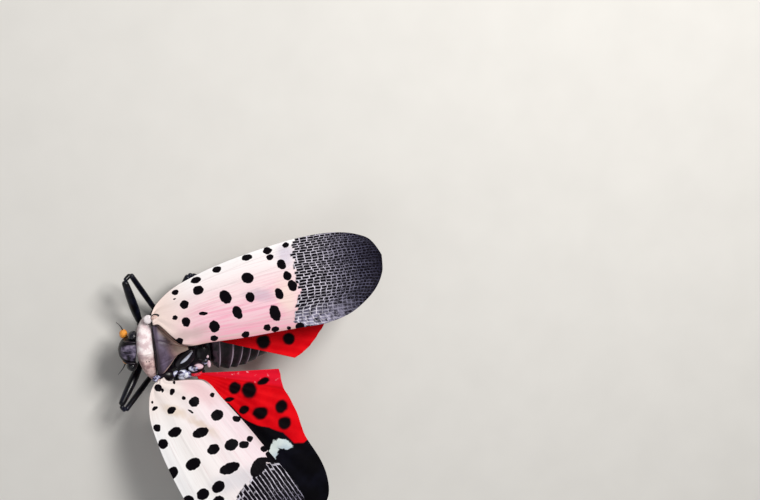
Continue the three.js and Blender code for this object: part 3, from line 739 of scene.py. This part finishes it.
# Spots and white patches of the hindwings, and where black starts: a reach, then the share of the fan below
# which it is black there.
LEFT_HINDWING = {
    "spots": LEFT_HIND_SPOTS,
    "white": [(7.5, 8.2, 1.9, 0.95, 20), (6.5, 8.9, 1.0, 1.9, 15)],
    "black": [(0.15, 0.0), (0.2, 0.3), (0.3, 0.277), (0.39, 0.327), (0.445, 0.387), (0.52, 0.42),
              (0.595, 0.4), (0.64, 0.44), (0.68, 0.6), (1.0, 1.0)],
    # fold: how much the folded part is flecked and gets its painted light and painted shade
    "fold": 1.0,
}
RIGHT_HINDWING = {
    "spots": RIGHT_HIND_SPOTS,
    "white": [(10.8, -0.2, 1.6, 1.2, 0)],
    "black": [(0.45, 0.0), (0.55, 0.2), (0.62, 0.32), (0.8, 0.45), (1.0, 0.6)],
    "fold": 0.0,
}


def hindwing_finish(name, look):
    """Red hindwing with soft-edged black spots, a white patch and a black outer part."""
    finish = Finish(name, specular_ior_level=0.06)
    plan = finish.chart("plan")
    fan = finish.chart("fan")
    share, reach, _ = finish.parts(finish.wavered(fan, 12, 0.02))
    cloud = finish.noise(0.45, 4, over=plan)
    pleat_shade_streaks = finish.streaks(fan, (40, 2, 1), 2)
    finish.paint((232, 6, 20))
    finish.paint((206, 0, 14), cloud.step(0.35, 0.7))
    # Painted shade: darker red streaks along the pleats of the fan
    finish.paint((150, 0, 10), pleat_shade_streaks.step(0.56, 0.82) * 0.14)

    # The last part of the fan folds up and is flecked; painted light makes it pinker, and painted shade draws
    # a dark line along the crease
    folded = share.step(ANAL_CREASE, ANAL_CREASE + 0.05) * look["fold"]
    finish.paint((240, 30, 62), folded * 0.5)
    finish.paint((246, 190, 206), finish.noise(2.6, 4, over=plan).step(0.62, 0.7) * folded * 0.7)
    finish.paint((120, 0, 10), abs(share - ANAL_CREASE).step(0.02, 0.006) * look["fold"] * 0.2)

    spot = finish.nearest_spot(finish.wavered(plan, 0.9, 0.4), look["spots"])
    finish.paint((96, 0, 10), spot.step(1.35, 0.9))
    finish.paint((9, 3, 6), spot.step(1.12, 0.82))
    night = finish.mix(cloud.step(0.4, 0.8), (5, 4, 8), (14, 14, 26))
    finish.paint(night, (finish.ramp(reach, look["black"]) - share).step(-0.008, 0.008))
    white = finish.mix(cloud.step(0.4, 0.7), (228, 240, 238), (190, 208, 220))
    patch = finish.nearest_spot(finish.wavered(plan, 1.7, 0.8), look["white"])
    finish.paint(white, patch.step(1.1, 0.9))
    fine = finish.noise(8)
    return finish.dress(0.45 + fine * 0.2, pleat_shade_streaks * 0.3 + fine * 0.2, 0.03)


# Forewings


def wing_axes(pose, side):
    """The directions along a wing, across it towards its costal edge, and out of its upper face."""
    sweep, rise, twist = [radians(pose[key]) for key in ("sweep", "rise", "twist")]
    along = Vector((cos(rise) * cos(sweep), side * cos(rise) * sin(sweep), sin(rise)))
    level = Vector((-sin(sweep), side * cos(sweep), 0))
    upright = along.cross(level) * side
    return (along, level * cos(twist) + upright * sin(twist),
            upright * cos(twist) - level * sin(twist))


def forewing_edges(u):
    """Inner and costal edge at a distance from the hinge, with the tip rounded off."""
    inner = smooth(INNER_EDGE, u)
    costal = smooth(COSTAL_EDGE, u)
    middle = (inner + costal) / 2
    closing = round_end((u - 1 + FOREWING["tip"]) / FOREWING["tip"])
    return middle + (inner - middle) * closing, middle + (costal - middle) * closing


def forewing_row(b):
    """Distance from the hinge of a row of cells: closer rows towards the tip."""
    return FOREWING["root"] + (1 - FOREWING["root"]) * (0.7 * b + 0.3 * sin(b * pi / 2))


def forewing(which, look):
    side = SIDES[which]
    along, across, out = wing_axes(FOREWING_POSE[which], side)
    hinge = on_side(side, FOREWING["hinge"])
    length = FOREWING["length"]

    def plan(a, b):
        """Distance from the hinge, and height over the middle line."""
        u = forewing_row(b)
        inner, costal = forewing_edges(u)
        return u, inner + (costal - inner) * a

    def shape(a, b):
        u, v = plan(a, b)
        inner, costal = forewing_edges(u)
        bow = FOREWING["camber"] * 4 * a * (1 - a) * max(0, min(1, u * 5, (costal - inner) * 4))
        vein = max(hump(a - at, 0.014) for at in MAIN_VEINS) * max(0, min(1, (u - 0.1) * 6))
        edge = hump(1 - a, 0.02) + hump(a, 0.02)
        sway = 0.05 * sin(9 * u + 5 * a) + 0.04 * sin(21 * a + 4 * u)
        lift = bow + FOREWING["vein"] * vein + FOREWING["edge"] * edge + sway
        return hinge + along * (u * length) + across * (v * length) + out * lift

    form = Form("forewing_" + which + "_membrane", forewing_finish(which + " forewing", look))
    form.sheet(*FOREWING["cells"], shape, {"plan": plan, "ribs": lambda a, b: (forewing_row(b), a)})
    thicken(form.keep("forewing", "forewing_" + which), FOREWING["wall"])


forewing("right", RIGHT_FOREWING)
forewing("left", LEFT_FOREWING)


# Hindwings


def hindwing(which, look):
    side = SIDES[which]
    pose = HINDWING_POSE[which]
    hinge = on_side(side, HINDWING["hinge"])
    root_back, root_outwards, root_up = pose["anal_root"]

    def pleats(a):
        """1 on the ridge of a pleat, and -1 in a furrow."""
        return cos(pi * HINDWING["folds"] * a)

    def plan(a, b):
        """Offset back and outwards from the hinge, for a share of the fan and of the reach."""
        angle = radians(pose["leading"] + (pose["anal"] - pose["leading"]) * a)
        scallop = 1 - HINDWING["scallop"] * (0.5 + 0.5 * pleats(a))
        reach = smooth(pose["outline"], a) * (0.02 + 0.98 * b) * scallop
        return root_back * a * a + reach * cos(angle), root_outwards * a * a + reach * sin(angle)

    def shape(a, b):
        back, outwards = plan(a, b)
        reach = smooth(pose["outline"], a) * b
        first, last = pose["rise"]
        rise = first + (last - first) * a + pose["arch"] * sin(pi * a)
        fold = pose["fold"] * max(0, a - ANAL_CREASE) / (1 - ANAL_CREASE)
        relief = HINDWING["pleat"] * pleats(a) + fold + 0.07 * sin(7 * a + 0.5 * reach)
        z = root_up * a * a + reach * rise + relief * min(1, reach / 8)
        return hinge + Vector((back, side * outwards, z))

    def fan(a, b):
        return a, smooth(pose["outline"], a) * b / FAN_REACH

    form = Form("hindwing_" + which + "_membrane", hindwing_finish(which + " hindwing", look))
    form.sheet(HINDWING["folds"] * 8, HINDWING["rows"], shape, {"plan": plan, "fan": fan})
    thicken(form.keep("hindwing", "hindwing_" + which), HINDWING["wall"])


hindwing("right", RIGHT_HINDWING)
hindwing("left", LEFT_HINDWING)


# Head


def head():
    outline = [(0, 0), (0.04, 0.3), (0.12, 0.55), (0.3, 0.82), (0.6, 0.98), (0.85, 1), (0.96, 0.86), (1, 0)]
    middle = (HEAD["top"] + HEAD["chin"]) / 2
    half = (HEAD["top"] - HEAD["chin"]) / 2

    def shape(share, angle):
        wide, tall = rounded(angle, HEAD["power"])
        size = smooth(outline, share)
        x = HEAD["front"] + (HEAD["back"] + 0.3 - HEAD["front"]) * share
        dip = 0.12 * max(0, tall) * cos(wide * 2.6) * sin(pi * share)
        return Vector((x, wide * HEAD["half_width"] * size, middle + tall * half * size * 1.02 - dip))

    form = Form("head_shell", head_finish())
    form.moulded(56, 48, shape, None, {
        "plan": lambda share, angle: (share, rounded(angle, HEAD["power"])[0])})
    form.limb([(1.7, 0, 5.9), (0.9, 0, 5.84), (0.35, 0, 5.28), (0.15, 0, 4.6)], (0.05, 0.05, 0.05, 0.04),
              finish=body_cuticle)
    for side in SIDES.values():
        form.side = side
        form.limb([(1.75, 1.02, 5.84), (1.0, 0.98, 5.76), (0.66, 0.94, 5.1), (0.9, 1.1, 4.4)],
                  (0.08, 0.12, 0.1, 0.06), finish=body_cuticle)
    form.keep("head", "head", turned=HEAD_TURN)


def eye(which, side, finish):
    form = Form("eye_" + which + "_lens", finish, side)
    form.ball(EYE["place"], EYE["radii"], 48, 32)
    form.keep("eye", "eye_" + which, turned=HEAD_TURN)


def antenna(which, side, finish):
    x, y, z = ANTENNA_PLACE[side]
    length = ANTENNA["bristle"]
    form = Form("antenna_" + which + "_knob", finish, side)
    form.ball((x, y, z), ANTENNA["radii"], 36, 24)
    form.limb([(x + 0.2, y - 0.5, z + 0.05), (x + 0.05, y - 0.12, z + 0.02)], (0.24, 0.32), finish=wax)
    tip = (x - length * 0.4, y + length * 0.7, z + length * 0.4)
    form.limb([(x - 0.08, y + 0.36, z + 0.08), (x - 0.3, y + 0.8, z + 0.3), tip], (0.06, 0.04, 0.02), 8, 20,
              leg_cuticle)
    form.keep("antenna", "antenna_" + which, turned=HEAD_TURN)


def rostrum():
    form = Form("rostrum_tube", body_cuticle)
    form.limb(ROSTRUM, ROSTRUM_RADII, 18, 40)
    form.keep("body", "rostrum")


head()
rostrum()
lens = eye_finish()
knob = orange_finish()
for which, side in SIDES.items():
    eye(which, side, lens)
    antenna(which, side, knob)


# Thorax


def pronotum():
    collar = PRONOTUM

    def section(s):
        """Front, back, lowest and highest of the section at a share of the half width."""
        out = s * s
        lobe = smooth([(0, 0), (0.4, 0), (0.75, 0.75), (1, 1)], abs(s))
        lowest = collar["keel"] + (collar["lobe"] - collar["keel"]) * lobe
        return (collar["front"] + collar["front_curve"] * out, collar["back"] - collar["back_curve"] * out,
                lowest, collar["top"] - collar["droop"] * out)

    def shape(share, angle):
        s = 2 * share - 1
        y = s * collar["half_width"]
        wide, tall = rounded(angle, collar["power"])
        rim = round_end(abs(s) ** 3)
        front, back, lowest, highest = section(s)
        highest += 0.07 * hump(s, 0.03) - 0.06 * hump(abs(s) - 0.2, 0.08)
        front -= collar["lean"] * y
        return Vector(((front + back) / 2 + wide * (back - front) / 2 * rim, y,
                       (highest + lowest) / 2 + tall * (highest - lowest) / 2 * rim))

    form = Form("pronotum_collar", collar_finish())
    form.moulded(64, 120, shape)
    seam = []
    for s in (-0.86, -0.6, -0.3, 0, 0.3, 0.6, 0.86):
        _, back, _, highest = section(s)
        seam.append((back + 0.04, s * collar["half_width"], highest - 0.08))
    form.limb(seam, (0.06, 0.08, 0.06), 12, 60, body_cuticle)
    for x in (2.55, 2.8):
        form.ball((x, -0.75, 6.56), (0.05, 0.05, 0.03), 12, 8, body_cuticle)
    form.keep("collar", "pronotum")


def mesonotum():
    shield = MESONOTUM
    length = shield["apex"] - shield["front"]

    def shape(a, b):
        across = 2 * a - 1
        y = across * shield["half_width"] * smooth(SHIELD_EDGES[RIGHT if across > 0 else LEFT], b)
        x = length * b - shield["bow"] * across * across * (1 - b)
        dome = shield["crown"] - (shield["crown"] - shield["edge"]) * (y / shield["half_width"]) ** 2
        curl = 0.32 * hump(b, 0.05) + 0.12 * abs(across) ** 8
        groove = 0.05 * hump(abs(y) - 1.1 * (1 - b) - 0.15, 0.08)
        return Vector((shield["front"] + x, y, dome - shield["slope"] * x / length - curl - groove))

    form = Form("mesonotum_shield", shield_finish())
    form.sheet(90, 90, shape, {"plan": lambda a, b: (a, b)})
    thicken(form.keep("shield", "mesonotum"), shield["wall"], -1)


def thorax():
    trunk = THORAX
    top = trunk["top"] - trunk["sunk"]
    outline = [(0, 0), (0.01, 0.4), (0.03, 0.8), (0.08, 0.94), (0.3, 1), (0.65, 0.99), (0.9, 0.93),
               (0.98, 0.8), (1, 0)]

    def shape(share, angle):
        wide, tall = rounded(angle, trunk["power"])
        size = smooth(outline, share)
        return Vector((trunk["front"] + (trunk["back"] + 0.45 - trunk["front"]) * share,
                       wide * (trunk["half_width"] - 0.1) * size,
                       (top + trunk["bottom"]) / 2 + tall * (top - trunk["bottom"]) / 2 * size))

    # Small plates of each wing joint: place, radii, finish and turn in degrees
    plates = [
        ((5.7, 2.5, 5.85), (0.46, 0.3, 0.24), mottled, -12),
        ((6.12, 2.78, 5.75), (0.46, 0.38, 0.24), mottled, 20),
        ((5.72, 2.95, 5.62), (0.42, 0.3, 0.22), wax, 0),
        ((5.0, 2.5, 5.85), (0.42, 0.22, 0.2), mottled, -30),
        ((6.8, 2.3, 5.7), (0.46, 0.28, 0.22), mottled, 12),
        ((4.24, 2.62, 5.95), (0.4, 0.26, 0.2), mottled, -40),
        ((7.32, 2.2, 5.55), (0.46, 0.28, 0.2), pink_wax, 6),
        ((7.0, 2.92, 5.18), (0.62, 0.34, 0.14), red_root, 4),
        ((7.95, 1.75, 5.7), (0.34, 0.3, 0.2), mottled, 0),
        ((8.3, 2.03, 5.75), (0.18, 0.36, 0.2), pink_wax, 0),
        ((8.24, 1.25, 5.9), (0.14, 0.16, 0.13), pink_wax, 0),
    ]
    form = Form("thorax_shell", body_cuticle)
    form.moulded(64, 64, shape)
    for side in SIDES.values():
        form.side = side
        form.ball((4.2, 2.6, 5.7), (0.85, 0.6, 0.5))
        form.ball((6.15, 1.1, 5.82), (1.3, 0.75, 0.45), 32, 20, turn=-40)
        form.ball((7.0, 2.35, 5.15), (0.95, 0.6, 0.45))
        form.ball((7.8, 0.8, 5.68), (0.7, 0.85, 0.42), 28, 18)
        # A narrow white streak along the ridge of the black plate behind the shield
        form.limb([(5.5, 1.58, 6.08), (6.17, 1.1, 6.28), (6.9, 0.47, 6.18)], (0.05, 0.15, 0.04), 14, 28, wax)
        for place, radii, finish, turn in plates:
            form.ball(place, radii, 24, 16, finish, turn)
    form.keep("body", "thorax")


def tegula(which, side, finish):
    (pale, pale_radii), (tan, tan_radii) = TEGULAE[side]
    form = Form("tegula_" + which + "_cap", finish, side)
    form.ball(pale, pale_radii, 28, 18)
    form.ball(tan, tan_radii, 28, 18, tan_plate)
    under = Vector(tan) + Vector((0.04, 0, -0.07))
    form.ball(under, [radius * 1.2 for radius in tan_radii], 28, 18, body_cuticle)
    form.keep("collar", "tegula_" + which)


pronotum()
mesonotum()
thorax()
tegula("right", RIGHT, cream)
tegula("left", LEFT, mottled)


# Abdomen


def abdomen_finish():
    """Purple-black abdomen with a mauve-grey line at the hind edge of each segment, straw-coloured below."""
    finish = Finish("abdomen", specular_ior_level=0.25, coat_weight=0.1, coat_roughness=0.2)
    _, _, z = finish.parts(finish.place)
    rings, _, _ = finish.parts(finish.chart("rings"))
    cloud = finish.noise(2.2, 4)
    fine = finish.noise(12)
    band = rings.fraction()
    first = rings.step(1.3, 0.6) * cloud.step(0.35, 0.6)
    below = finish.mix(band.step(0.45, 0.6), (24, 17, 20), (186, 158, 84))
    finish.paint((8, 4, 8))
    finish.paint((36, 19, 28), cloud.step(0.4, 0.7))
    # Mauve-grey towards each segment's hind edge, and patches on the first segment that are partly its own
    # tint and partly painted highlight
    finish.paint((104, 78, 96), (band.step(0.5, 0.9) * 0.3).most(first * 0.5))
    finish.paint((176, 156, 174), band.step(0.85, 0.9) * 0.9)
    finish.paint(below, z.step(3.1, 2.6))
    return finish.dress(0.34 + fine * 0.25, fine * 0.5 + cloud * 0.4, 0.03)


def abdomen():
    front = SEGMENT_EDGES[0]
    back = SEGMENT_EDGES[-1]
    outline = [(0, 0.8), (0.1, 0.93), (0.28, 1), (0.45, 0.95), (0.62, 0.78), (0.8, 0.53), (0.94, 0.32),
               (1, 0.2)]

    def ring(share):
        """The number of segments before a place, with the share of the next one as its fraction."""
        x = front + (back - front) * share
        i = max(k for k in range(len(SEGMENT_EDGES) - 1) if SEGMENT_EDGES[k] <= x or k == 0)
        return i + (x - SEGMENT_EDGES[i]) / (SEGMENT_EDGES[i + 1] - SEGMENT_EDGES[i])

    def shape(share, angle):
        part = ring(share) % 1 if share < 1 else 1
        swell = 0.95 + 0.055 * min(1, part / 0.9) - 0.055 * max(0, part - 0.93) / 0.07
        closing = round_end(1 - share / 0.03) * round_end((share - 0.97) / 0.03)
        size = smooth(outline, share) * swell * closing
        wide, tall = rounded(angle, ABDOMEN["power"])
        y = wide * ABDOMEN["half_width"] * size
        x = front + (back - front) * share - ABDOMEN["bend"] * y * y * min(1, 3 * share)
        middle = ABDOMEN["middle"] - ABDOMEN["sag"] * share * share
        return Vector((x, y, middle + tall * ABDOMEN["half_height"] * size))

    form = Form("abdomen_rings", abdomen_finish())
    form.moulded(72, 220, shape, None, {"rings": lambda share, angle: (ring(share), angle)})
    form.keep("body", "abdomen")


abdomen()


# Legs


def leg(name, joints):
    pair, which = name.split("_")
    side = SIDES[which]
    coxa = on_side(side, COXAE[pair])
    knee = on_side(side, joints["knee"])
    ankle = on_side(side, (*joints["ankle"], ANKLE_HEIGHT))
    heel = on_side(side, (*joints["ankle"], HEEL_HEIGHT))
    toe = on_side(side, (*joints["toe"], TOE_HEIGHT))

    back = (coxa - knee).normalized()
    along = (ankle - knee).normalized()
    fold = max(0, along.dot(back))
    beside = (along - back * along.dot(back)).normalized()
    shin = knee + beside * (KNEE_FOLDED * fold * fold) + along * (KNEE_OPEN * (1 - fold) - 0.2)

    form = Form("leg_" + name, leg_cuticle)
    form.ball(coxa, COXA_RADII, 24, 16)
    form.limb([coxa + back * -0.35, coxa.lerp(knee, 0.16)], (0.36, 0.32), 18, 14)
    thigh = coxa.lerp(knee, 0.13)
    form.limb([thigh, thigh.lerp(knee, 0.5) + UP * 0.12, knee], FEMUR_RADII, 20, 40)
    form.limb([knee, knee.lerp(shin, 0.5), shin], (0.2, 0.22, 0.22), 14, 14)
    form.limb([shin, shin.lerp(ankle, 0.5), ankle], TIBIA_RADII[pair], 18, 40)
    form.limb([ankle, ankle.lerp(heel, 0.6), heel], (0.2, 0.17, 0.16), 12, 12)

    run = toe - heel
    ahead = run.normalized()
    for start, end, radius in FOOT_JOINTS:
        form.limb([heel + run * start, heel + run * end], (radius, radius * 0.85, radius), 14, 16, flat=0.9)
    for turn in (-1, 1):
        outwards = Vector((-run.y, run.x, 0)).normalized() * turn
        claw = toe + outwards * 0.16
        form.limb([claw, claw + ahead * 0.26 + outwards * 0.12 + UP * 0.03,
                   claw + ahead * 0.42 + outwards * 0.14 - UP * 0.16], (0.07, 0.055, 0.015), 8, 12)
    form.ball(toe + ahead * 0.2 - UP * 0.06, (0.16, 0.16, 0.1), 12, 8)

    if pair == "hind":
        for share in SPINES:
            foot = shin.lerp(ankle, share) + UP * 0.2
            form.spike(foot, foot + UP * 0.32 + along * 0.28, 0.09)
    form.keep("leg", *[part + "_" + name for part in ("coxa", "femur", "tibia", "tarsus")])


for name, joints in LEGS.items():
    leg(name, joints)


# Floor, camera and light


def to_frame(point):
    return TO_FRAME @ Vector(point)


def floor():
    form = bmesh.new()
    bmesh.ops.create_grid(form, x_segments=1, y_segments=1, size=FLOOR_HALF)
    data = bpy.data.meshes.new("floor")
    form.to_mesh(data)
    form.free()
    plane = put_in_scene("floor", data)
    finish = Finish("pale floor", roughness=0.9)
    finish.set("Base Color", finish.mix(finish.noise(0.2, 2), (214, 212, 208), (222, 220, 216)))
    data.materials.append(finish.material)


def camera():
    made = put_in_scene("camera", bpy.data.cameras.new("camera"))
    made.location = to_frame(CAMERA["place"])
    made.rotation_euler = [radians(angle) for angle in CAMERA["turn"]]
    made.data.lens = CAMERA["lens"]
    made.data.clip_start = CAMERA["near"] * MM
    made.data.clip_end = CAMERA["far"] * MM
    bpy.context.scene.camera = made


def lamp(name, values):
    data = bpy.data.lights.new(name, "AREA")
    data.size = values["size"] * MM
    data.energy = values["power"]
    data.color = values["colour"]
    made = put_in_scene(name, data)
    made.location = to_frame(values["place"])
    aim = to_frame(LAMPS_AIM) - made.location
    made.rotation_euler = aim.to_track_quat("-Z", "Y").to_euler()


floor()
camera()
for name, values in LAMPS.items():
    lamp(name, values)

sky = bpy.data.worlds.new("studio")
sky.use_nodes = True
background = sky.node_tree.nodes["Background"]
background.inputs["Color"].default_value = (1, 1, 1, 1)
background.inputs["Strength"].default_value = SKY_STRENGTH
bpy.context.scene.world = sky
bpy.context.scene.view_settings.view_transform = "Standard"
